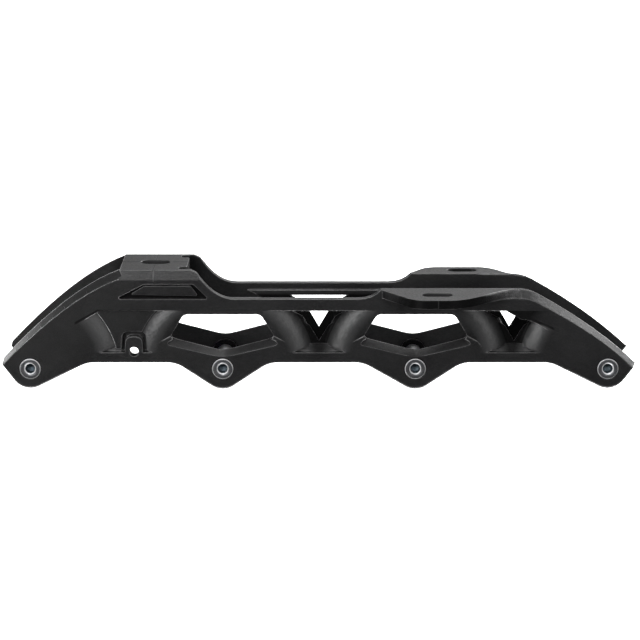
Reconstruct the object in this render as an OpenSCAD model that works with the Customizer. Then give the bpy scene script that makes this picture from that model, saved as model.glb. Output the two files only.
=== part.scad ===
// Inline skate frame for a boot with a three-point mount: one casting and four screw-in wheel axles.
// +X points to the toe, +Z points up, and Y = 0 is the middle plane of the wheels.
// The outer side of the foot is at -Y: the axles go in from there and screw into the other wall.
// The origin is the centre of the heel slot, at the height of the heel seat.

/* [Wheels] */
// Distance from the first axle to the last
wheelbase = 275; // [272:1:280]
// Largest wheel that turns in the frame
wheel_d = 90; // [84:1:90]
// Distance between the two bosses that a wheel turns between
hub_gap = 24.6; // [24:0.1:25.4]
// Room between a wheel and the cross bridges
wheel_room = 2; // [1.5:0.1:2.5]

/* [Axles] */
// Shank of an axle, which the wheel bearings sit on
axle_d = 8; // [7.5:0.1:8]
// Head of an axle
axle_head_d = 10; // [9.5:0.1:10.8]
// Height of an axle head
axle_head_h = 4; // [3:0.1:4.4]
// Thread at the far end of an axle
axle_thread_d = 7; // [6:0.1:7]
// Depth of the thread's end under the outer face
axle_end_inset = 1; // [0.5:0.1:2]
// Hexagon socket in the head, across its flats
socket_af = 4; // [3:0.5:5]
// Depth of the hexagon socket
socket_depth = 3.4; // [2.5:0.1:3.8]
// Bevel round the head, the socket and the thread's end
axle_bevel = 0.6; // [0.3:0.1:0.8]
// Radial clearance of an axle in its holes
axle_clearance = 0.05; // [0.02:0.01:0.1]

/* [Side walls] */
// Width over the outer faces of the two walls
frame_w = 37; // [36.5:0.1:38]
// Thickness of a wall
wall = 3.6; // [3.4:0.1:4]
// Width of the wheel channel between the round struts
channel_w = 26; // [25.6:0.1:26.6]
// Boss round an axle hole, on the inner side of a wall
boss_d = 12; // [11:0.5:14]
// Radius of a lug under an end axle
end_lug_r = 9.3; // [9:0.1:9.6]
// Radius of a lug under a middle axle
mid_lug_r = 9.7; // [9:0.1:10.2]
// Bevel along the top of the sloping arms
arm_bevel = 3.4; // [2.5:0.1:3.5]

/* [Heights above the axles] */
// Heel seat
heel_seat_h = 48; // [47:0.5:52]
// Toe seats
toe_seat_h = 38.7; // [38.2:0.1:40]
// Top of the upper rail
rail_top_h = 34.2; // [33.6:0.1:34.6]
// Underside of the upper rail, over the struts
rail_under_h = 28.5; // [28.2:0.1:29]
// Top of a window
window_top_h = 26.8; // [26.4:0.1:27.2]
// Lowest point of a window
window_low_h = 8.4; // [7.8:0.1:9]
// Front edge of the ledge that the struts stand on
ledge_h = 8.1; // [7.6:0.1:8.6]
// Top of that ledge, on the inner side
ledge_top_h = 11.7; // [11.3:0.1:12.2]
// Underside of the lower rail, between the lugs
rail_low_h = 3.2; // [2.6:0.1:3.8]

/* [Heel platform] */
// Distance of the heel slot behind the middle of the frame
heel_x = 78.1; // [77.5:0.1:79]
// Platform behind the slot's centre
heel_back = 15.9; // [15:0.1:16.5]
// Platform in front of the slot's centre
heel_front = 15.6; // [15:0.1:16.5]
// Thickness of the platform
heel_plate = 4.6; // [4:0.1:5]
// Length of the heel slot
heel_slot_l = 14.4; // [12:0.1:17]
// Width of the heel slot
heel_slot_w = 8.4; // [7:0.1:10]

/* [Toe tabs] */
// Outer slot in front of the middle of the frame
toe_out_x = 55.3; // [54:0.1:57]
// Outer slot from the middle plane
toe_out_y = 28.4; // [27.5:0.1:29.5]
// Edge of the outer tab from the middle plane
toe_out_edge = 39.6; // [38:0.1:42]
// Inner slot in front of the middle of the frame
toe_in_x = 70; // [68:0.1:72]
// Inner slot from the middle plane
toe_in_y = 22.8; // [22.4:0.1:23.6]
// Edge of the inner tab from the middle plane
toe_in_edge = 29.6; // [28.5:0.1:32]
// Thickness of a tab
toe_plate = 4.1; // [3.5:0.1:4.4]
// Length of a toe slot
toe_slot_l = 14.7; // [10:0.1:16]
// Width of a toe slot
toe_slot_w = 6.8; // [6:0.1:7.2]

/* [Round struts] */
// Radius of a strut's crest, round the axle beside it
strut_ring_r = 33.8; // [33.5:0.1:34.4]
// Radius of a strut's round section
strut_r = 15; // [14.4:0.1:15.6]
// Angle of the cut under a strut's foot
strut_foot_a = 18; // [16:0.5:20]
// Depth of the panel in the rear gap, under the outer face
panel_depth = 1.5; // [1.2:0.1:1.8]

/* [Brake tab] */
// Hole for a brake bolt
brake_hole_d = 4.6; // [4:0.1:5.2]
// Hole in front of the middle of the rear gap
brake_x = 3.8; // [3.4:0.1:4.2]
// Hole above the axles
brake_h = 8.5; // [8.2:0.1:8.8]

/* [Hidden] */

casting_colour = [0.13, 0.13, 0.135];
axle_colour = [0.72, 0.73, 0.75];

cut = 1;
far = 60;
overlap = 0.4;
pitch = wheelbase / 3;
face = frame_w / 2;
inner = face - wall;
channel = channel_w / 2;
axles_x = [for (i = [0:3]) (i - 1.5) * pitch];
gaps_x = [for (i = [0:2]) (i - 1) * pitch];

// A unit vector
function unit(v) = v / norm(v);

// A list from its end to its start
function reversed(p) = [for (i = [len(p) - 1:-1:0]) p[i]];

// A quadratic curve from a to b, drawn towards c
function curve(a, c, b, n = 10) =
    [for (i = [0:n]) let (t = i / n) (1 - t) * (1 - t) * a + 2 * t * (1 - t) * c + t * t * b];

// The corner at b between a and c, rounded as far as its edges allow
function corner(a, b, c, r, n) =
    let (
        u = unit(a - b),
        v = unit(c - b),
        half = acos(u * v) / 2,
        room = 0.49 * min(norm(a - b), norm(c - b)),
        rr = min(r, room * tan(half)),
        middle = b + unit(u + v) * rr / sin(half),
        start = b + u * rr / tan(half) - middle,
        turn = cross(b - a, c - b) > 0 ? 180 - 2 * half : 2 * half - 180,
        first = atan2(start[1], start[0])
    )
    r <= 0 ? [b] : [for (i = [0:n]) let (a = first + turn * i / n) middle + rr * [cos(a), sin(a)]];

// A closed outline of [x, y, corner radius] points
function rounded(p, n = 4) =
    let (m = len(p), q = [for (e = p) [e[0], e[1]]])
    [for (i = [0:m - 1]) each corner(q[(i + m - 1) % m], q[i], q[(i + 1) % m], p[i][2], n)];

// An open line of such points, whose two ends stay as they are
function rounded_line(p, n = 4) =
    let (m = len(p), q = [for (e = p) [e[0], e[1]]])
    [
        q[0],
        each [for (i = [1:m - 2]) each corner(q[i - 1], q[i], q[i + 1], p[i][2], n)],
        q[m - 1]
    ];

// A slot's outline, along X
function slot_outline(l, w, n = 12) =
    [for (s = [1, -1], i = [0:n]) let (a = 180 * i / n) s * [(l - w) / 2 + w / 2 * sin(a), -w / 2 * cos(a)]];

// Side outline of a wall, in X and Z
end_slope = 53.5;
end_inner_slope = 26.5;
mid_slope = 34;
third_rear_slope = 30;
foot_r = 14;
tip_h = 2.5;
arm_start_h = 4.8;
arm_start_back = 0.7;

// Corner of a lug's two tangents, from the axle
function lug_corner(left, right, r) =
    r / sin(left + right) * [cos(left) - cos(right), -sin(left) - sin(right)];

// A lug from foot to foot under the axle at x
function lug(x, left, right, r) =
    let (v = lug_corner(left, right, r), rise = rail_low_h - v[1])
    [
        [x + v[0] - rise / tan(left), rail_low_h, foot_r],
        [x + v[0], v[1], r],
        [x + v[0] + rise / tan(right), rail_low_h, foot_r]
    ];

end_v = lug_corner(end_slope, end_inner_slope, end_lug_r);
tip_reach = -end_v[0] + (tip_h - end_v[1]) / tan(end_slope);
rear_lug = lug(axles_x[0], end_slope, end_inner_slope, end_lug_r);
front_lug = lug(axles_x[3], end_inner_slope, end_slope, end_lug_r);

bottom_line = rounded_line([
    [axles_x[0] - tip_reach, tip_h, 0],
    rear_lug[1],
    rear_lug[2],
    each lug(axles_x[1], mid_slope, mid_slope, mid_lug_r),
    each lug(axles_x[2], third_rear_slope, mid_slope, mid_lug_r),
    front_lug[0],
    front_lug[1],
    [axles_x[3] + tip_reach, tip_h, 0]
], 6);

arm_tip = tip_reach - arm_start_back;
heel_rear = -heel_x - heel_back;
heel_end = -heel_x + heel_front;
arm_join_x = 95.5;
tab_rise_l = 11;
shoulder_l = 4.8;
shoulder_drop = 1.4;

rear_arm = curve(
    [axles_x[0] - arm_tip, arm_start_h],
    [heel_rear - 23.8, heel_seat_h - 8.7],
    [heel_rear, heel_seat_h]
);
front_arm = [
    [arm_join_x, toe_seat_h],
    [arm_join_x + 2.5, toe_seat_h - 0.35],
    [arm_join_x + 5, toe_seat_h - 1.1],
    each curve(
        [arm_join_x + 8, toe_seat_h - 2.5],
        [axles_x[3] - 7, 21.3],
        [axles_x[3] + arm_tip, arm_start_h - 1.9]
    )
];
heel_slope = curve(
    [heel_end + shoulder_l, heel_seat_h - shoulder_drop],
    [heel_end + 12.8, rail_top_h],
    [heel_end + 22.5, rail_top_h]
);

// Top line of a wall from rear to front, with the root of its toe tab at root_x
function top_line(root_x) = [
    each rear_arm,
    [heel_end + 2, heel_seat_h],
    each heel_slope,
    each curve([root_x - tab_rise_l, rail_top_h], [root_x - 4, rail_top_h], [root_x, toe_seat_h], 4),
    each front_arm
];

function wall_outline(root_x) = [each bottom_line, each reversed(top_line(root_x))];

// Draws an outline in X and Z, from y0 out to y1 on the -Y side
module side_plate(points, y0, y1) {
    translate([0, -y0, 0]) rotate([90, 0, 0]) linear_extrude(y1 - y0) polygon(points);
}

// Window round an axle
window_half_top = 18.2;
window_half_low = 25.2;
window_side_h = 15;
window_vertex_r = 15;
window_bevel_drop = 2.8;
window_bevel_out = 2.6;

function window_outline(out, drop, top) = rounded([
    [-window_half_top - out, top, 3.5],
    [-window_half_low - out, window_side_h - drop, 1.8 - 0.3 * out],
    [0, window_low_h - drop, window_vertex_r],
    [window_half_low + out, window_side_h - drop, 1.8 - 0.3 * out],
    [window_half_top + out, top, 3.5]
]);

module window(x) {
    skin = 0.1;
    translate([x, 0, 0]) {
        side_plate(window_outline(0, 0, window_top_h), channel - cut, face + cut);
        hull() {
            side_plate(window_outline(0, 0, window_side_h + 3), inner - skin, inner);
            side_plate(window_outline(window_bevel_out, window_bevel_drop, window_side_h + 1), face, face + skin);
        }
    }
}

// Gap between two wheels: a recess under the upper rail and the arms
strut_head = 2.4;
strut_top_h = rail_under_h + strut_head;
gap_floor = inner + overlap;
gap_root_h = rail_low_h + 1.2;
rear_band = 15.2;
front_band = 14.2;
front_band_start = 7;
gap_shift = [0, 0, 1.2];

// Outline of all that lies under the bands of the two arms, raised by some height
function under_arms(raise) = [
    [axles_x[0] - far, -far],
    each [for (p = rear_arm) p + [0, raise - rear_band]],
    [heel_rear, far],
    [arm_join_x - front_band_start, far],
    [arm_join_x - front_band_start, rail_under_h + raise],
    each [for (p = front_arm) p + [0, raise - front_band]],
    [axles_x[3] + far, -far]
];

// Room of a gap between two heights, outside a radius round both its axles
module gap_room(i, low, high, raise, r, y0, y1) {
    left = axles_x[i];
    right = axles_x[i + 1];
    difference() {
        intersection() {
            side_plate([[left, low], [right, low], [right, high], [left, high]], y0, y1);
            side_plate(under_arms(raise), y0 - cut, y1 + cut);
        }
        for (x = [left, right])
            translate([x, 0, 0]) rotate([90, 0, 0]) cylinder(r = r, h = far, $fn = 96);
    }
}

// Inner part of a wall, behind the struts
module gap_block(i) {
    gap_room(i, gap_root_h, strut_top_h, strut_head, strut_ring_r - 1, channel, inner + overlap);
}

// Ledge at the foot of a recess
module ledge(i) {
    step = 2.3;
    lean = 0.9;
    translate([axles_x[i], 0, 0]) rotate([90, 0, 90])
        linear_extrude(pitch)
            polygon([
                [-face - 2 * cut, ledge_h - 1],
                [-face - 2 * cut, ledge_h],
                [-face + step, ledge_h],
                [-face + step + lean, ledge_top_h],
                [-channel + cut, ledge_top_h],
                [-channel + cut, ledge_h - 1]
            ]);
}

// Strut of a gap: part of a ring round the axle behind it (end 0) or in front of it (end 1)
module strut(i, end) {
    dir = 1 - 2 * end;
    proud = 0.05;
    foot_x = strut_ring_r - 1.5;
    middle = pitch / 2 + 0.1;
    low_x = window_half_low - 5;
    top_x = window_half_top - 8;
    head_x = middle - 15;
    intersection() {
        translate([axles_x[i + end] + gap_shift[i], strut_r - face - proud, 0])
            rotate([90, 0, 0]) rotate_extrude($fn = 96)
                translate([strut_ring_r, 0]) circle(r = strut_r, $fn = 64);
        translate([axles_x[i + end], 0, 0]) side_plate([
            [dir * foot_x, ledge_h - 0.2],
            [dir * middle, ledge_h - 0.2 + (middle - foot_x) * tan(strut_foot_a)],
            [dir * middle, rail_under_h - 8],
            [dir * head_x, rail_under_h + 0.2],
            [dir * head_x, far],
            [dir * top_x, far],
            [dir * top_x, strut_top_h],
            [dir * low_x, window_side_h - 1]
        ], channel - cut, face + 2 * cut);
    }
}

// Room on the other side of a strut, out to the window beside it
module window_side(i, end) {
    dir = 1 - 2 * end;
    inset = 0.5;
    rim = 1.4;
    skin = 0.03;
    low = ledge_h + skin;
    high = rail_under_h - skin;
    slope = (window_half_low - window_half_top) / (window_top_h - window_side_h);
    foot_x = sqrt(strut_ring_r * strut_ring_r - ledge_h * ledge_h) + inset;
    translate([axles_x[i + end], 0, 0]) side_plate([
        [dir * (window_half_top - slope * (rail_under_h - window_top_h)), high],
        [dir * (window_half_low - inset - slope * rim), window_side_h + rim],
        [dir * (window_half_low + window_bevel_out + rim), window_side_h - window_bevel_drop + rim],
        [dir * (foot_x - 1), low + 2],
        [dir * foot_x, low],
        [dir * (foot_x + 2), low],
        [dir * (foot_x + 2), high]
    ], gap_floor + inset, face + cut / 2);
}

// Web that joins the feet of two struts under an open V
module v_web(i) {
    tip_h = ledge_top_h + 0.9;
    mouth = [4.3, tip_h + 7.4];
    wing = [10, tip_h + 11.8];
    thick = 1;
    translate([gaps_x[i] + gap_shift[i], 0, 0]) side_plate([
        [-wing[0], gap_root_h],
        [wing[0], gap_root_h],
        wing,
        mouth,
        [0, tip_h],
        [-mouth[0], mouth[1]],
        [-wing[0], wing[1]]
    ], channel, channel + thick);
}

// Flat panel between the struts of the rear gap
module gap_panel() {
    panel_r = 42.2;
    foot = 1.5;
    gap_room(0, ledge_h + foot, far, far, panel_r, channel - cut, face - panel_depth);
}

// All that is taken out of a gap, which leaves an open V between the struts of the other two gaps
module gap_recess(i) {
    difference() {
        union() {
            gap_room(i, ledge_h, rail_under_h, 0, strut_ring_r, i == 0 ? gap_floor : channel - cut, face + cut);
            if (i < 2) window_side(i, 1);
            if (i > 0) window_side(i, 0);
        }
        for (end = [0, 1]) strut(i, end);
        ledge(i);
        if (i == 0) gap_panel();
        if (i > 0) v_web(i);
    }
}

// Plane bevel along one stretch of a top line
module bevel_cut(p, q, over_start, over_end, wide, drop) {
    d = q - p;
    translate([p[0], -face + wide, p[1]])
        rotate([0, -atan2(d[1], d[0]), 0])
            rotate([atan(drop / wide), 0, 0])
                translate([-over_start, -far, 0])
                    cube([norm(d) + over_start + over_end, far, far]);
}

module arm_bevels() {
    over = 2;
    end = 12;
    heel_bevel_w = 1.5;
    heel_bevel_drop = 4.6;
    rear_drop = 1.8;
    front_drop = 2.2;
    widening = 0.2;
    wide_steps = 9;
    last_rear = len(rear_arm) - 2;
    last_front = len(front_arm) - 2;
    for (i = [0:last_rear])
        bevel_cut(
            rear_arm[i],
            rear_arm[i + 1],
            i == 0 ? end : over, i == last_rear ? 0 : over, arm_bevel, rear_drop + i * widening
        );
    bevel_cut(
        [heel_rear, heel_seat_h],
        [heel_end + shoulder_l, heel_seat_h],
        0.5, 3, heel_bevel_w, heel_bevel_drop
    );
    for (i = [0:last_front])
        bevel_cut(
            front_arm[i],
            front_arm[i + 1],
            i == 0 ? 0.2 : over,
            i == last_front ? end : over, arm_bevel, front_drop + max(0, wide_steps - i) * widening
        );
}

// Front edge of a toe tab, which swings back to the wall, in X and Y
swing_steps = 36;
swing_lean = 40;

function tab_swing(turn_x, edge) =
    let (end_x = arm_join_x, root = face - 0.1)
    [for (i = [0:swing_steps]) let (t = i / swing_steps)
        [turn_x + (end_x - turn_x) * t, -root - (edge - root) * (1 + cos(180 * t)) / 2]];

module toe_tab(root_x, turn_x, edge) {
    corner_x = root_x + (edge - face) * 0.72;
    corner_r = 10;
    translate([0, 0, toe_seat_h - toe_plate]) linear_extrude(toe_plate) polygon([
        [root_x, -inner],
        [root_x + 0.6, -face],
        each corner([root_x + 0.6, -face], [corner_x, -edge], [turn_x, -edge], corner_r, 8),
        each tab_swing(turn_x, edge),
        [arm_join_x, -inner]
    ]);
}

// The edge of a tab leans back, more and more, into the bevel of the arm
module swing_bevels(turn_x, edge) {
    p = tab_swing(turn_x, edge);
    size = 12;
    over = 0.17;
    skin = 0.03;
    first = swing_steps / 2;
    for (i = [first:swing_steps - 1])
        let (d = p[i + 1] - p[i], lean = swing_lean * (i - first + 0.5) / (swing_steps - first))
        translate([p[i][0], p[i][1] + skin, toe_seat_h - toe_plate])
            rotate([0, 0, atan2(d[1], d[0])]) rotate([-lean, 0, 0])
                translate([-over, -size, -cut])
                    cube([norm(d) + (i == swing_steps - 1 ? over : 2 * over), size, size]);
}

module toe_slot(slot_x, slot_y) {
    translate([slot_x, -slot_y, toe_seat_h - toe_plate - cut])
        linear_extrude(toe_plate + 2 * cut) polygon(slot_outline(toe_slot_l, toe_slot_w));
}

// Brake tab on the outer face of the rear gap
brake_tab_w = 9;
brake_tab_h = 15.9;
brake_pocket_side = 1.7;
brake_pocket_top = 2.2;
brake_pocket_depth = 4.2;

function tombstone(w, low, high) =
    let (taper = 0.6, r = 3)
    rounded([[-w / 2, low, 0], [w / 2, low, 0], [w / 2 - taper, high, r], [-w / 2 + taper, high, r]]);

module brake_pocket() {
    w = brake_tab_w + 2 * brake_pocket_side;
    translate([gaps_x[0] + brake_x, 0, 0])
        side_plate(tombstone(w, ledge_h, brake_tab_h + brake_pocket_top), face - brake_pocket_depth, face + cut);
}

module brake_tab() {
    translate([gaps_x[0] + brake_x, 0, 0])
        side_plate(tombstone(brake_tab_w, gap_root_h, brake_tab_h), channel, face);
}

module brake_hole() {
    translate([gaps_x[0] + brake_x, 0, brake_h])
        rotate([90, 0, 0]) cylinder(d = brake_hole_d, h = 2 * far, center = true, $fn = 48);
}

// Wedge-shaped pocket beside the heel platform, with a raised field in it
module side_pocket() {
    depth = 1.8;
    field_depth = 0.5;
    low = heel_seat_h - 13.8;
    high = heel_seat_h - 6.6;
    field_low = low + 2;
    field_high = high - 0.9;
    difference() {
        side_plate(rounded([
            [heel_rear - 2.4, low, 0.6],
            [heel_end + 10.4, low, 0.6],
            [heel_end + 3.2, high, 1],
            [heel_rear + 11.4, high, 1]
        ]), face - depth, face + cut);
        side_plate(rounded([
            [heel_rear + 4.6, field_low, 0.4],
            [heel_end + 5.6, field_low - 0.6, 0.6],
            [heel_end + 1.8, field_high, 0.6],
            [heel_rear + 11.6, field_high, 0.6]
        ]), face - depth - cut, face - field_depth);
    }
}

// One wall, drawn on the -Y side
module side_wall(slot_x, slot_y, root_x, turn_x, edge) {
    difference() {
        union() {
            side_plate(wall_outline(root_x), inner, face);
            for (i = [0:2]) gap_block(i);
            toe_tab(root_x, turn_x, edge);
            for (x = axles_x) axle_boss(x);
        }
        for (x = [axles_x[1], axles_x[2]]) window(x);
        for (i = [0:2]) gap_recess(i);
        arm_bevels();
        swing_bevels(turn_x, edge);
        toe_slot(slot_x, slot_y);
        side_pocket();
        brake_pocket();
    }
    brake_tab();
}

module axle_boss(x) {
    translate([x, -hub_gap / 2, 0])
        rotate([90, 0, 0]) cylinder(d = boss_d, h = face - 1 - hub_gap / 2, $fn = 64);
}

// Holes for one axle: a stepped one on the outer side, the thread's on the inner side
module axle_holes(x) {
    translate([x, 0, 0]) rotate([90, 0, 0]) {
        translate([0, 0, face - axle_head_h])
            cylinder(r = axle_head_d / 2 + axle_clearance, h = axle_head_h + cut, $fn = 64);
        cylinder(r = axle_d / 2 + axle_clearance, h = face, $fn = 64);
        translate([0, 0, -face - cut])
            cylinder(r = axle_thread_d / 2 + axle_clearance, h = face + cut, $fn = 64);
    }
}

// Heel platform between the walls, with a tongue between two notches at its front end
module heel_platform() {
    notch_l = 4;
    notch_w = 5;
    notch_r = 1.4;
    tongue_r = 3;
    long = heel_end - heel_rear;
    half = inner + 1;
    translate([heel_rear, 0, heel_seat_h - heel_plate]) linear_extrude(heel_plate) polygon(rounded([
        [0, -half, 0],
        [long, -half, 0],
        [long, -inner, 0],
        [long - notch_l, -inner, notch_r],
        [long - notch_l, -inner + notch_w, notch_r],
        [long, -inner + notch_w, tongue_r],
        [long, inner - notch_w, tongue_r],
        [long - notch_l, inner - notch_w, notch_r],
        [long - notch_l, inner, notch_r],
        [long, inner, 0],
        [long, half, 0],
        [0, half, 0]
    ]));
}

module heel_slot() {
    translate([-heel_x, 0, heel_seat_h - heel_plate - cut])
        linear_extrude(heel_plate + 2 * cut) polygon(slot_outline(heel_slot_l, heel_slot_w));
}

// Half width of the room between two wheels at a height
function between_wheels(h) = pitch / 2 - sqrt(pow(wheel_d / 2 + wheel_room, 2) - h * h);

// Bridge between the last two wheels, and the web under the heel platform
module toe_bridge() {
    low = rail_under_h - 0.6;
    high = strut_top_h;
    translate([gaps_x[2], 0, 0]) side_plate([
        [-between_wheels(low), low],
        [between_wheels(low), low],
        [between_wheels(high), high],
        [-between_wheels(high), high]
    ], -inner - 1, inner + 1);
}

module heel_web() {
    web = 4;
    low = 24;
    translate([gaps_x[0] - web / 2, -inner - 1, low])
        cube([web, 2 * inner + 2, heel_seat_h - low - 0.5]);
}

module frame_casting() {
    color(casting_colour) translate([heel_x, 0, -heel_seat_h]) difference() {
        union() {
            side_wall(toe_out_x, toe_out_y, toe_out_x - 26, toe_out_x + 4.5, toe_out_edge);
            mirror([0, 1, 0]) side_wall(toe_in_x, toe_in_y, toe_in_x - 25.2, toe_in_x + 8.5, toe_in_edge);
            heel_platform();
            heel_web();
            toe_bridge();
        }
        heel_slot();
        brake_hole();
        for (x = axles_x) axle_holes(x);
    }
}

// Axle screw along -Y, its head flush with the outer face
module axle(i) {
    head_r = axle_head_d / 2;
    shank_r = axle_d / 2;
    thread_r = axle_thread_d / 2;
    socket_r = socket_af / 2;
    length = 2 * face - axle_end_inset;
    shank_end = face + hub_gap / 2;
    skin = 0.01;
    color(axle_colour) translate([heel_x + axles_x[i], -face, -heel_seat_h]) rotate([-90, 0, 0]) difference() {
        rotate_extrude($fn = 64) polygon([
            [0, 0],
            [head_r - axle_bevel, 0],
            [head_r, axle_bevel],
            [head_r, axle_head_h],
            [shank_r, axle_head_h],
            [shank_r, shank_end],
            [thread_r, shank_end],
            [thread_r, length - axle_bevel],
            [thread_r - axle_bevel, length],
            [0, length]
        ]);
        translate([0, 0, -cut]) cylinder(r = socket_r / cos(30), h = socket_depth + cut, $fn = 6);
        translate([0, 0, socket_depth - skin]) cylinder(r1 = socket_r, r2 = 0, h = socket_r / 2, $fn = 48);
        translate([0, 0, -skin]) cylinder(r1 = socket_r + 2 * axle_bevel, r2 = socket_r, h = 2 * axle_bevel, $fn = 48);
    }
}

module axle_1() axle(0);
module axle_2() axle(1);
module axle_3() axle(2);
module axle_4() axle(3);

frame_casting();
axle_1();
axle_2();
axle_3();
axle_4();
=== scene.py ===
"""Looks of an inline skate frame: a black coated casting with four screw-in wheel axles.

The casting keeps its own solid, with soft edges and a fine coated grain. Each axle is a turned steel screw
with a hexagon socket and a real thread. Sizes are in millimetres, and MM turns them into the metres of the
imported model.
"""
import math

import bmesh
import bpy
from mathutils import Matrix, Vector


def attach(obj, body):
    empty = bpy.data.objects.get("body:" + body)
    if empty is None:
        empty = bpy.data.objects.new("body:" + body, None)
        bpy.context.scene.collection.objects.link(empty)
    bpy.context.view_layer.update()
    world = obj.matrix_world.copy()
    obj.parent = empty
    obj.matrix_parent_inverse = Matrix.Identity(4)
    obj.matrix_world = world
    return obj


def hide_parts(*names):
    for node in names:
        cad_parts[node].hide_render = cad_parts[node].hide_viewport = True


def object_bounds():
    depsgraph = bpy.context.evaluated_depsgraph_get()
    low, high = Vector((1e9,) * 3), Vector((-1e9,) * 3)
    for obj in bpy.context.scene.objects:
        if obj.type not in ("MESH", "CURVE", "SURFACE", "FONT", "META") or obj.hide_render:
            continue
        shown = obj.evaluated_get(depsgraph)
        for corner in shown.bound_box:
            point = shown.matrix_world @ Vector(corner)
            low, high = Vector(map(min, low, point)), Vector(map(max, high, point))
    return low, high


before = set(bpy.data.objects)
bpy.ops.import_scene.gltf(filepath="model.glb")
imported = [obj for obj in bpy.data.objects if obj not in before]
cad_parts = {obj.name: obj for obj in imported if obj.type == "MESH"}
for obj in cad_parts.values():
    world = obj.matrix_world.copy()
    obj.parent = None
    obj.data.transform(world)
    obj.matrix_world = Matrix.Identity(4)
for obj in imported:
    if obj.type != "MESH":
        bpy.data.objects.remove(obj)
cad_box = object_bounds()
MM = 0.001

# Lengths from the heel slot: the frame's middle, the toe slots, the axles and the gaps between them, the end
# of the heel platform and the middle of the side pocket
HEEL_X = 78.1
TOE_OUT_X = HEEL_X + 55.3
TOE_IN_X = HEEL_X + 70.0
WHEELBASE = 275.0
AXLE_X = [HEEL_X + (i - 1.5) * WHEELBASE / 3 for i in range(4)]
GAP_X = [0.5 * (a + b) for a, b in zip(AXLE_X, AXLE_X[1:])]
PLATFORM_END = 15.7
POCKET_X = 3.0

# Distances from the middle plane: walls, the skin of the struts and the edges of the toe tabs
FACE = 18.5
INNER = 15.0
WEB = 14.05
TAB_OUT = 39.6
TAB_IN = 29.6

# Heights: the heel seat is at 0, and the others are measured from it
AXLE_Z = -48.0
LEDGE_Z = AXLE_Z + 8.1
RAIL_UNDER_Z = AXLE_Z + 28.5
HEEL_BEVEL_Z = -5.3
POCKET_Z = -10.2

# Lower edges of the two arms: their rise along the frame and their height at the heel slot
REAR_RISE, REAR_EDGE = 0.56, -4.6
FRONT_RISE, FRONT_EDGE = -0.445, 56.0


class Graph:
    """The shader nodes of one material, with short calls that add to them."""

    def __init__(self, name):
        self.material = bpy.data.materials.new(name)
        self.material.use_nodes = True
        self.nodes = self.material.node_tree.nodes
        self.links = self.material.node_tree.links
        self.shader = self.nodes["Principled BSDF"]

    def feed(self, socket, value):
        if isinstance(value, bpy.types.NodeSocket):
            self.links.new(value, socket)
        elif isinstance(value, tuple):
            socket.default_value = (*value, 1.0)
        else:
            socket.default_value = value

    def finish(self, **inputs):
        for name, value in inputs.items():
            self.feed(self.shader.inputs[name.replace("_", " ")], value)
        return self.material

    def add(self, kind, inputs, **settings):
        node = self.nodes.new(kind)
        for name, value in settings.items():
            setattr(node, name, value)
        for name, value in inputs.items():
            self.feed(node.inputs[name], value)
        return node

    def object_coords(self):
        return self.nodes.new("ShaderNodeTexCoord").outputs["Object"]

    def split(self, vector):
        return self.add("ShaderNodeSeparateXYZ", {0: vector}).outputs

    def millimetres(self, coords):
        scaled = self.add("ShaderNodeVectorMath", {0: coords, "Scale": 1 / MM}, operation="SCALE")
        return self.split(scaled.outputs[0])

    def noise(self, coords, scale, detail, rough):
        inputs = {"Vector": coords, "Scale": scale, "Detail": detail, "Roughness": rough}
        return self.add("ShaderNodeTexNoise", inputs).outputs["Fac"]

    def math(self, operation, a, b=None):
        inputs = {0: a} if b is None else {0: a, 1: b}
        return self.add("ShaderNodeMath", inputs, operation=operation).outputs[0]

    def size_of(self, value):
        return self.math("ABSOLUTE", value)

    def times(self, first, *others):
        for value in others:
            first = self.math("MULTIPLY", first, value)
        return first

    def most(self, first, *others):
        for value in others:
            first = self.math("MAXIMUM", first, value)
        return first

    # From low at start to high at end, and level beyond them
    def ramp(self, value, start, end, low, high):
        inputs = {"Value": value, "From Min": start, "From Max": end, "To Min": low, "To Max": high}
        return self.add("ShaderNodeMapRange", inputs, clamp=True).outputs["Result"]

    # 1 within half of a middle value, fading to 0 over a soft edge
    def strip(self, value, middle, half, soft):
        away = self.size_of(self.math("SUBTRACT", value, middle))
        return self.ramp(away, half, half + soft, 1.0, 0.0)

    def without(self, mask, rest=0.0):
        return self.ramp(mask, 0.0, 1.0, 1.0, rest)

    def mix(self, fac, a, b):
        inputs = {"Factor": fac, "A": a, "B": b}
        return self.add("ShaderNodeMix", inputs, data_type="RGBA").outputs["Result"]

    def bump(self, height, strength, distance, normal=None):
        inputs = {"Strength": strength, "Distance": distance * MM, "Height": height}
        if normal is not None:
            inputs["Normal"] = normal
        return self.add("ShaderNodeBump", inputs).outputs["Normal"]


def grey(tone, blue=0.0):
    return (tone, tone, tone + blue)


# Index lines scribed across the heel platform, along it, and on the edges of the two toe tabs: all of them,
# those on the platform's top, and the rest
def scribed_lines(g, x, y, z):
    thin, soft = 0.1, 0.15
    top = g.ramp(z, -0.4, -0.3, 0.0, 1.0)
    sides = g.ramp(g.size_of(y), 12.0, 12.1, 0.0, 1.0)
    bevels = g.times(g.ramp(z, HEEL_BEVEL_Z, HEEL_BEVEL_Z + 0.1, 0.0, 1.0), sides)
    outer = g.ramp(y, 0.3 - TAB_OUT, 0.4 - TAB_OUT, 1.0, 0.0)
    inner = g.ramp(y, TAB_IN - 0.4, TAB_IN - 0.3, 0.0, 1.0)
    lines = g.times(g.strip(y, 0.0, 2.5 * thin, 2 * soft), top)
    for middle, where in ((0.0, g.most(top, bevels)), (TOE_OUT_X, outer), (TOE_IN_X, inner)):
        lines = g.most(lines, g.times(g.strip(x, middle, thin, soft), where))
    top_lines = g.times(lines, g.ramp(z, -0.5, -0.4, 0.0, 1.0))
    return lines, top_lines, g.math("SUBTRACT", lines, top_lines)


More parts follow.
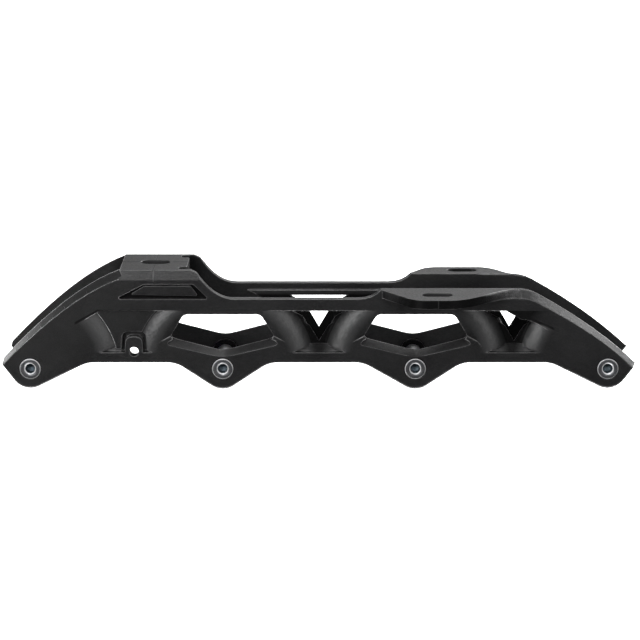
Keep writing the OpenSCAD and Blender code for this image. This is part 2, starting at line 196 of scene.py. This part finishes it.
# Distance of a point from the nearest axle's centre line
def axle_distance(g, x, z):
    flat = g.add("ShaderNodeCombineXYZ", {"X": x, "Z": z}).outputs[0]
    nearest = None
    for axle_x in AXLE_X:
        inputs = {0: flat, 1: Vector((axle_x, 0.0, AXLE_Z))}
        away = g.add("ShaderNodeVectorMath", inputs, operation="DISTANCE").outputs["Value"]
        nearest = away if nearest is None else g.math("MINIMUM", nearest, away)
    return nearest


# Walls of the heel slot and of the two toe slots, with a little round them
def slot_mask(g, x, y, z):
    heel = g.times(g.strip(x, 0.0, 10.0, 0.2), g.strip(y, 0.0, 5.0, 0.2), g.ramp(z, -6.2, -6.0, 0.0, 1.0))
    outer = g.times(
        g.strip(x, TOE_OUT_X, 9.0, 0.2),
        g.ramp(y, -36.0, -35.8, 0.0, 1.0),
        g.ramp(y, -20.0, -19.8, 1.0, 0.0),
    )
    inner = g.times(
        g.strip(x, TOE_IN_X, 9.0, 0.2),
        g.ramp(y, 26.0, 26.2, 1.0, 0.0),
        g.ramp(y, 19.0, 19.2, 0.0, 1.0),
    )
    return g.most(heel, outer, inner)


# Masks over the casting: painted shade in hollows, creases and beside the V gaps; painted light on the round
# faces of the struts, with slot walls a little lighter; and the area clear of the slots and the pocket
def shade_and_light_masks(g, x, y, z, away, sideways, upward):
    upright = g.ramp(g.size_of(upward), 0.5, 0.7, 1.0, 0.0)
    depth = g.size_of(y)
    gaps = [g.strip(x, middle, 26.0, 1.5) for middle in GAP_X]
    between = g.strip(z, 0.5 * (LEDGE_Z + RAIL_UNDER_Z), 0.5 * (RAIL_UNDER_Z - LEDGE_Z), 0.1)
    ring_in, ring_crest, ring_turn, ring_out = 32.0, 36.5, 38.5, 45.5

    # Painted shade on the walls of the channel, on the sides of the struts next to the V gaps, and on the
    # shelves at their feet
    under_rail = g.ramp(z, RAIL_UNDER_Z, RAIL_UNDER_Z + 1.0, 1.0, 0.0)
    channel = g.times(g.ramp(depth, WEB, WEB + 0.2, 1.0, 0.0), under_rail)
    beside_v = g.times(g.ramp(away, 40.0, ring_out, 0.0, 0.9), between, g.most(*gaps[1:]))
    v_middles = g.most(*[g.strip(x, middle, 12.0, 1.0) for middle in GAP_X[1:]])
    v_edges = g.times(g.ramp(depth, WEB + 0.6, WEB + 1.0, 1.0, 0.0), between, v_middles)
    feet = g.most(*[g.strip(x, middle, 17.5, 1.0) for middle in GAP_X])
    shelves = g.times(g.ramp(upward, 0.35, 0.5, 0.0, 0.8), g.strip(z, LEDGE_Z + 2.0, 2.6, 0.4), feet)

    # Painted shade in the groove round the field of the side pocket and on the edges of the toe tabs
    groove = g.times(
        g.strip(depth, 17.2, 0.65, 0.1), g.strip(z, POCKET_Z, 3.75, 0.1), g.strip(x, POCKET_X, 24.0, 1.0)
    )
    pocket = g.times(
        g.strip(depth, 18.0, 1.5, 0.1), g.strip(z, POCKET_Z, 4.6, 0.2), g.strip(x, POCKET_X, 25.0, 1.0), 0.6
    )
    slots = slot_mask(g, x, y, z)
    clear_of_slots_and_pocket = g.without(g.most(slots, pocket))
    tabs = g.times(g.ramp(depth, 19.0, 33.0, 0.0, 0.95), upright, clear_of_slots_and_pocket)

    # Painted shade in the creases where the struts run in under the sloping arms and under the rail
    over_rear = g.math("SUBTRACT", z, g.math("MULTIPLY", x, REAR_RISE))
    over_front = g.math("SUBTRACT", z, g.math("MULTIPLY", x, FRONT_RISE))
    near_face = g.ramp(depth, FACE - 1.8, FACE - 1.6, 0.0, 0.8)
    creases = g.times(near_face, g.most(
        g.times(g.strip(over_rear, REAR_EDGE, 0.4, 0.4), g.strip(x, -32.0, 5.0, 1.0)),
        g.times(g.strip(over_front, FRONT_EDGE, 0.4, 0.4), g.strip(x, 183.0, 6.0, 1.0)),
        g.times(g.strip(z, RAIL_UNDER_Z, 0.4, 0.3), g.strip(x, GAP_X[0], 13.0, 1.0)),
    ))

    # Painted shade on the inner sides of the walls close to the two ends of the heel platform
    from_heel = g.size_of(x)
    past_platform = g.times(
        g.ramp(from_heel, PLATFORM_END - 0.08, PLATFORM_END, 0.0, 1.0),
        g.ramp(from_heel, PLATFORM_END, 24.0, 0.9, 0.0),
    )
    inside = g.times(g.ramp(depth, INNER, INNER + 0.2, 1.0, 0.0), g.ramp(sideways, 0.8, 0.9, 0.0, 1.0))
    corners = g.times(past_platform, inside, g.ramp(z, -16.0, -14.0, 0.0, 1.0))
    # All the painted shade together
    painted_shade = g.most(channel, beside_v, v_edges, shelves, groove, tabs, creases, corners)

    # Painted light on the round faces of the struts, less where they turn away and at the arms; painted
    # shadow under the outer toe tab
    round_side = g.most(g.ramp(sideways, 0.985, 0.999, 1.0, 0.0), g.ramp(away, ring_turn, 40.0, 1.0, 0.0))
    lit = g.times(g.ramp(away, ring_in, ring_crest, 0.0, 1.0), g.ramp(away, ring_turn, ring_out, 1.0, 0.1))
    outside = g.ramp(depth, WEB, WEB + 0.2, 0.0, 1.0)
    heads = g.times(
        g.ramp(over_rear, REAR_EDGE - 1.0, REAR_EDGE + 0.2, 1.0, 0.0),
        g.ramp(over_front, FRONT_EDGE - 0.6, FRONT_EDGE + 0.6, 1.0, 0.0),
    )
    # Painted shadow of the outer toe tab on the heads of the struts under it
    tab_length = g.times(g.ramp(x, 118.0, 124.0, 0.0, 1.0), g.ramp(x, 160.0, 166.0, 1.0, 0.0))
    tab_shadow = g.times(tab_length, g.ramp(z, -24.0, -20.0, 0.0, 0.85))
    strut_light = g.times(lit, round_side, between, outside, heads, g.without(tab_shadow), g.most(*gaps))
    return painted_shade, g.most(strut_light, g.times(slots, upright, 0.25)), clear_of_slots_and_pocket


# Normals with soft edges: wide on the lugs and on the turn of the outer toe tab, narrow round the axle heads
def soft_edges(g, x, z, away):
    base = g.ramp(z, AXLE_Z - 2.0, AXLE_Z + 6.0, 1.7 * MM, 0.6 * MM)
    clear = g.ramp(away, 7.0, 8.0, 0.15, 1.0)
    turn = g.times(g.strip(x, 167.0, 9.0, 4.0), g.ramp(z, -17.0, -14.0, 0.0, 1.0))
    radius = g.times(base, clear, g.ramp(turn, 0.0, 1.0, 1.0, 2.6))
    return g.add("ShaderNodeBevel", {"Radius": radius}, samples=8).outputs["Normal"]


# Black coat on the casting: fine grain and cloudy gloss, with painted highlights along the edges, painted
# shade and painted strut light
def coated_casting():
    g = Graph("black_coat")
    coords = g.object_coords()
    x, y, z = g.millimetres(coords)
    away = axle_distance(g, x, z)
    normal = g.nodes.new("ShaderNodeNewGeometry").outputs["Normal"]
    facing = g.split(normal)
    sideways = g.size_of(facing["Y"])
    upward = facing["Z"]
    soft = soft_edges(g, x, z, away)
    grain = g.noise(coords, 2600, 2.0, 0.6)
    coarse = g.noise(coords, 950, 3.0, 0.6)
    cloud = g.noise(coords, 45, 3.0, 0.55)
    patches = g.noise(coords, 320, 3.0, 0.6)
    painted_shade, strut_light_and_slot_walls, clear_of_slots_and_pocket = shade_and_light_masks(g, x, y, z, away, sideways, upward)
    lines, top_lines, side_lines = scribed_lines(g, x, y, z)

    # Painted edge highlights, lighter on the rear arm; there they stay at the bevel's crest and on the wall
    # under it
    turned = g.add("ShaderNodeVectorMath", {0: soft, 1: normal}, operation="DOT_PRODUCT").outputs["Value"]
    edge = g.ramp(turned, 0.987, 0.9, 0.0, 1.0)
    rear = g.times(g.ramp(x, -17.0, -15.0, 1.0, 0.0), g.ramp(z, -40.0, -34.0, 0.0, 1.0))
    on_bevel = g.times(g.strip(sideways, 0.6, 0.25, 0.1), g.ramp(g.size_of(y), 15.7, 15.9, 0.0, 1.0))
    edge_highlight_and_lines = g.times(
        edge,
        g.ramp(patches, 0.3, 0.6, 0.45, 1.0),
        g.without(g.times(rear, on_bevel), 0.1),
        g.ramp(clear_of_slots_and_pocket, 0.0, 1.0, 0.15, 1.0),
        g.ramp(painted_shade, 0.3, 0.8, 1.0, 0.0),
    )
    # Scribed lines on the tab edges show lighter, as marks
    edge_highlight_and_lines = g.most(edge_highlight_and_lines, g.times(side_lines, 0.8))

    coat = g.mix(g.ramp(cloud, 0.3, 0.7, 0.0, 1.0), grey(0.0025, 0.0002), grey(0.005, 0.0002))
    speckled = g.mix(g.ramp(grain, 0.42, 0.75, 0.0, 0.9), coat, grey(0.013, 0.0004))
    # Painted edge highlights: lighter on the rear arm than elsewhere
    edge_lit_colour = g.mix(edge_highlight_and_lines, speckled, g.mix(rear, grey(0.1, 0.001), grey(0.42, 0.003)))
    # Painted light on the round faces of the struts, and slot walls a little lighter
    with_strut_light = g.mix(g.times(strut_light_and_slot_walls, 0.7), edge_lit_colour, grey(0.035, 0.0005))
    # Painted shade, near black, in the channel, beside the V gaps, in creases and hollows
    colour = g.mix(g.times(painted_shade, 0.8), with_strut_light, grey(0.001))

    cloudy = g.math("ADD", g.ramp(cloud, 0.3, 0.7, 0.33, 0.38), g.ramp(coarse, 0.3, 0.7, -0.05, 0.05))
    polished = g.math("SUBTRACT", cloudy, g.times(edge_highlight_and_lines, 0.08))
    matt = g.most(g.ramp(upward, 0.9, 0.97, 0.0, 0.17), g.times(top_lines, 0.5))
    lined = g.bump(g.math("SUBTRACT", 1.0, lines), 0.8, 0.2, soft)
    return g.finish(
        Base_Color=colour,
        Roughness=g.math("ADD", polished, matt),
        # Lower specular level where the painted shade lies
        Specular_IOR_Level=g.ramp(painted_shade, 0.0, 1.0, 0.28, 0.06),
        Normal=g.bump(grain, 0.6, 0.04, g.bump(coarse, 0.9, 0.16, lined)),
    )


# Tones of an axle: zinc steel, and copies of it with painted highlights on the two rims, a painted dark
# reflection on the head's face and painted shade in the socket. Each gives name, light tone, dark tone,
# least and most roughness, and how metallic it is
AXLE_TONES = (
    ("zinc_steel", (0.5, 0.5, 0.51), (0.4, 0.405, 0.415), 0.26, 0.4, 1.0),
    ("mouth_highlight", (0.62, 0.625, 0.63), (0.48, 0.485, 0.495), 0.36, 0.48, 0.4),
    ("socket_shade", (0.045, 0.057, 0.064), (0.026, 0.034, 0.041), 0.4, 0.55, 1.0),
    ("face_dark_reflection", (0.12, 0.122, 0.126), (0.075, 0.077, 0.082), 0.28, 0.4, 0.85),
    ("rim_highlight", (0.68, 0.685, 0.69), (0.54, 0.545, 0.555), 0.4, 0.5, 0.4),
)
STEEL, MOUTH_HIGHLIGHT, SOCKET_SHADE, FACE_DARK_REFLECTION, RIM_HIGHLIGHT = range(len(AXLE_TONES))


# Steel of the axle at x, with fine rings turned about its centre and a few stains
def turned_steel(name, x, light, dark, smooth, rough, metal):
    g = Graph(name)
    coords = g.object_coords()
    px, py, pz = g.split(coords)
    across = {"X": g.math("SUBTRACT", px, x * MM), "Y": g.math("SUBTRACT", pz, AXLE_Z * MM)}
    flat = g.add("ShaderNodeCombineXYZ", across).outputs[0]
    radius = g.add("ShaderNodeVectorMath", {0: flat}, operation="LENGTH").outputs["Value"]
    turned = g.add("ShaderNodeCombineXYZ", {"X": radius, "Y": py}).outputs[0]
    rings = g.noise(turned, 5200, 1.0, 0.5)
    spots = g.noise(coords, 700, 3.0, 0.6)
    cloud = g.noise(coords, 160, 2.0, 0.5)
    tone = g.mix(g.ramp(cloud, 0.3, 0.7, 0.0, 1.0), dark, light)
    stain = tuple(0.6 * c for c in dark)
    return g.finish(
        Base_Color=g.mix(g.ramp(spots, 0.6, 0.8, 0.0, 0.5), tone, stain),
        Roughness=g.ramp(rings, 0.3, 0.7, smooth, rough),
        Metallic=metal,
        Normal=g.bump(rings, 0.25, 0.02),
    )


# Tone of the axle's surface at a radius and a depth under the wall's face: painted highlights on the rims, a
# painted dark reflection on the face, painted shade in the socket, and plain steel elsewhere
def axle_tone_at(r, depth):
    rim_r, mouth_r, hexagon_r, socket_end = 4.72, 2.8, 2.45, 5.0
    if depth < 0.8 and hexagon_r < r < mouth_r:
        return MOUTH_HIGHLIGHT
    if r < hexagon_r and 0.4 < depth < socket_end:
        return SOCKET_SHADE
    if mouth_r < r < rim_r and depth < 0.3:
        return FACE_DARK_REFLECTION
    if rim_r < r and depth < 0.45:
        return RIM_HIGHLIGHT
    return STEEL


# Closed skin over rings of points, each with a tip inside its first and last ring
def skin_rings(bm, loops, first_tip, last_tip):
    count = len(loops[0])
    for p, q in zip(loops, loops[1:]):
        for k in range(count):
            n = (k + 1) % count
            bm.faces.new((p[k], p[n], q[n], q[k]))
    for loop, place in ((loops[0], first_tip), (loops[-1], last_tip)):
        tip = bm.verts.new(place)
        for k in range(count):
            bm.faces.new((loop[k], loop[(k + 1) % count], tip))
    bmesh.ops.recalc_face_normals(bm, faces=bm.faces)


# Axle screw at x: rings of radius and depth, from the hexagon socket over head and shank to the thread
def axle_mesh(name, x):
    around = 72
    length = 2 * FACE - 1.0
    shank_end = FACE + 12.3
    head_r, shank_r, thread_r = 5.0, 4.0, 3.5
    socket_r, mouth_r, socket_depth = 2.0, 3.2, 3.4
    angles = [2 * math.pi * k / around for k in range(around)]
    hexagon = [socket_r / math.cos((a % (math.pi / 3)) - math.pi / 6) for a in angles]

    def ring(r, depth):
        return [(r, depth)] * around

    rings = [
        ring(socket_r * 0.4, socket_depth + 0.6),
        ring(socket_r, socket_depth),
        [(h - 0.02, socket_depth) for h in hexagon],
        [(h, socket_depth - 0.1) for h in hexagon],
        [(h, mouth_r - h) for h in hexagon],
    ]
    mouth = ((2.36, 0.84), (2.84, 0.36), (3.12, 0.08), (3.24, 0.01))
    flat = ((3.35, 0.0), (4.45, 0.0))
    rim = ((4.58, 0.02), (4.66, 0.06), (4.94, 0.32), (4.985, 0.4), (head_r, 0.5))
    under_head = ((head_r, 3.85), (4.9, 4.0), (4.15, 4.0))
    shank = ((shank_r, 4.12), (shank_r, shank_end - 0.35), (thread_r, shank_end))
    rings += [ring(r, depth) for r, depth in mouth + flat + rim + under_head + shank]

    # The thread's groove deepens over the first rings
    pitch, groove_depth, steps, run_in = 1.0, 0.42, 50, 8
    start, end = shank_end + 0.1, length - 0.55
    for k in range(steps + 1):
        depth = start + (end - start) * k / steps
        row = []
        for a in angles:
            phase = (depth / pitch - a / (2 * math.pi)) % 1.0
            groove = min(1.0, max(0.0, 1.25 - abs(phase - 0.5) * 3.4))
            row.append((thread_r - groove_depth * min(1.0, k / run_in) * groove, depth))
        rings.append(row)
    tip_r = thread_r - 0.62
    tip = ((tip_r + 0.07, length - 0.06), (tip_r, length), (1.0, length), (0.6, length - 0.4))
    rings += [ring(r, depth) for r, depth in tip]

    def place(r, angle, depth):
        return (MM * (x + r * math.cos(angle)), MM * (depth - FACE), MM * (AXLE_Z + r * math.sin(angle)))

    bm = bmesh.new()
    loops = [[bm.verts.new(place(r, a, depth)) for a, (r, depth) in zip(angles, row)] for row in rings]
    skin_rings(bm, loops, place(0.0, 0.0, socket_depth + 0.8), place(0.0, 0.0, length - 0.6))
    for face in bm.faces:
        face.smooth = True
        middle = face.calc_center_median() / MM
        face.material_index = axle_tone_at(math.hypot(middle.x - x, middle.z - AXLE_Z), middle.y + FACE)
    for edge in bm.edges:
        edge.smooth = edge.calc_face_angle(0.0) < math.radians(42)
    mesh = bpy.data.meshes.new(name)
    bm.to_mesh(mesh)
    bm.free()
    piece = bpy.data.objects.new(name, mesh)
    bpy.context.collection.objects.link(piece)
    return piece


# Joins the casting's faces and shades it smooth, with sharp edges only where faces really turn
def smooth_facets(piece, limit):
    group = bpy.data.node_groups.new("smooth_facets", "GeometryNodeTree")
    group.interface.new_socket("Geometry", in_out="INPUT", socket_type="NodeSocketGeometry")
    group.interface.new_socket("Geometry", in_out="OUTPUT", socket_type="NodeSocketGeometry")
    nodes, links = group.nodes, group.links
    start = nodes.new("NodeGroupInput")
    end = nodes.new("NodeGroupOutput")
    plain = nodes.new("GeometryNodeRemoveAttribute")
    plain.inputs["Name"].default_value = "custom_normal"
    merge = nodes.new("GeometryNodeMergeByDistance")
    merge.inputs["Distance"].default_value = 0.025 * MM
    smooth = nodes.new("GeometryNodeSetShadeSmooth")
    sharp = nodes.new("GeometryNodeSetShadeSmooth")
    sharp.domain = "EDGE"
    sharp.inputs["Shade Smooth"].default_value = False
    angle = nodes.new("GeometryNodeInputMeshEdgeAngle")
    turn = nodes.new("FunctionNodeCompare")
    turn.data_type = "FLOAT"
    turn.operation = "GREATER_THAN"
    turn.inputs["B"].default_value = math.radians(limit)
    links.new(start.outputs[0], plain.inputs["Geometry"])
    links.new(plain.outputs["Geometry"], merge.inputs["Geometry"])
    links.new(merge.outputs["Geometry"], smooth.inputs["Geometry"])
    links.new(smooth.outputs["Geometry"], sharp.inputs["Geometry"])
    links.new(angle.outputs["Unsigned Angle"], turn.inputs["A"])
    links.new(turn.outputs["Result"], sharp.inputs["Selection"])
    links.new(sharp.outputs["Geometry"], end.inputs[0])
    piece.modifiers.new("smooth_facets", "NODES").node_group = group
    weighted = piece.modifiers.new("weighted", "WEIGHTED_NORMAL")
    weighted.keep_sharp = True
    weighted.weight = 60
    weighted.mode = "CORNER_ANGLE"


# A piece of the stage, which lends the object no light
def stage_piece(name, bm, place, material):
    mesh = bpy.data.meshes.new(name)
    bm.to_mesh(mesh)
    bm.free()
    mesh.materials.append(material)
    piece = bpy.data.objects.new(name, mesh)
    piece.location = place
    piece.visible_glossy = False
    piece.visible_diffuse = False
    piece.visible_shadow = False
    bpy.context.collection.objects.link(piece)
    return piece


# Pale floor just under the lowest lugs, and a pale room round it
def pale_stage():
    reach, drop = 9.0, 0.0003
    white = grey(1.0)
    bm = bmesh.new()
    bmesh.ops.create_grid(bm, x_segments=8, y_segments=8, size=reach)
    material = Graph("pale_floor").finish(
        Base_Color=grey(0.9),
        Roughness=0.9,
        Specular_IOR_Level=0.0,
        Emission_Color=white,
        Emission_Strength=0.9,
    )
    stage_piece("floor", bm, (0.0, 0.0, cad_box[0][2] - drop), material)
    bm = bmesh.new()
    bmesh.ops.create_icosphere(bm, subdivisions=4, radius=reach)
    material = Graph("pale_room").finish(Base_Color=grey(0.0), Emission_Color=white, Emission_Strength=1.0)
    room = stage_piece("room", bm, (0.0, 0.0, 0.0), material)
    room.visible_transmission = False


# Soft box that shines at the middle of the frame
def soft_box(name, place, size, power):
    light = bpy.data.lights.new(name, "AREA")
    light.shape = "RECTANGLE"
    light.size, light.size_y = size
    light.energy = power
    lamp = bpy.data.objects.new(name, light)
    lamp.location = place
    middle = Vector((HEEL_X * MM, 0.0, -0.03))
    lamp.rotation_euler = (middle - Vector(place)).to_track_quat("-Z", "Y").to_euler()
    bpy.context.collection.objects.link(lamp)


def dim_room(strength):
    world = bpy.data.worlds.new("dim_room")
    world.use_nodes = True
    background = world.node_tree.nodes["Background"]
    background.inputs["Color"].default_value = (1.0, 1.0, 1.0, 1.0)
    background.inputs["Strength"].default_value = strength
    bpy.context.scene.world = world


# Camera at the photograph's view: square to the frame's length and a little above it
def photo_camera():
    rise = math.radians(14.5)
    distance = 1.065
    target = Vector((HEEL_X * MM, 0.0, -0.0287))
    data = bpy.data.cameras.new("camera")
    data.sensor_width = 36.0
    data.lens = 124.34
    data.shift_x = 0.0016
    data.clip_end = 50.0
    camera = bpy.data.objects.new("camera", data)
    camera.location = target + distance * Vector((0.0, -math.cos(rise), math.sin(rise)))
    camera.rotation_euler = (target - camera.location).to_track_quat("-Z", "Y").to_euler()
    bpy.context.collection.objects.link(camera)
    bpy.context.scene.camera = camera


for i, x in enumerate(AXLE_X):
    node = f"axle_{i + 1}"
    screw = axle_mesh(f"axle_screw_{i + 1}", x)
    # One material per tone, the painted highlight and shade copies among them
    for name, *finish in AXLE_TONES:
        screw.data.materials.append(turned_steel(f"{name}_{i + 1}", x, *finish))
    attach(screw, node)
    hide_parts(node)

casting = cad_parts["frame_casting"]
smooth_facets(casting, 14.0)
coat = coated_casting()
for slot in casting.material_slots:
    slot.material = coat

pale_stage()
dim_room(0.065)
soft_box("left", (-0.54, -0.95, 0.2), (0.6, 0.42), 10.2)
soft_box("right", (0.7, -0.95, 0.2), (0.6, 0.42), 4.4)
soft_box("front_top", (-0.08, -0.75, 0.7), (0.6, 0.35), 8.3)
soft_box("right_top", (0.8, 0.1, 0.75), (0.5, 0.5), 12.5)
soft_box("top", (0.05, 0.0, 1.0), (0.6, 0.4), 6.4)
soft_box("back", (0.4, 0.9, 0.42), (1.1, 0.5), 3.2)
soft_box("back_left", (-0.88, 0.72, 0.2), (0.6, 0.42), 11.0)
soft_box("back_right", (1.0, 0.72, 0.2), (0.6, 0.42), 15.0)
soft_box("left_top", (-0.8, -0.25, 0.5), (0.4, 0.4), 0.8)
soft_box("low", (0.08, -0.08, -0.65), (0.8, 0.2), 9.0)
photo_camera()
bpy.context.scene.view_settings.view_transform = "Standard"
bpy.context.scene.view_settings.look = "None"
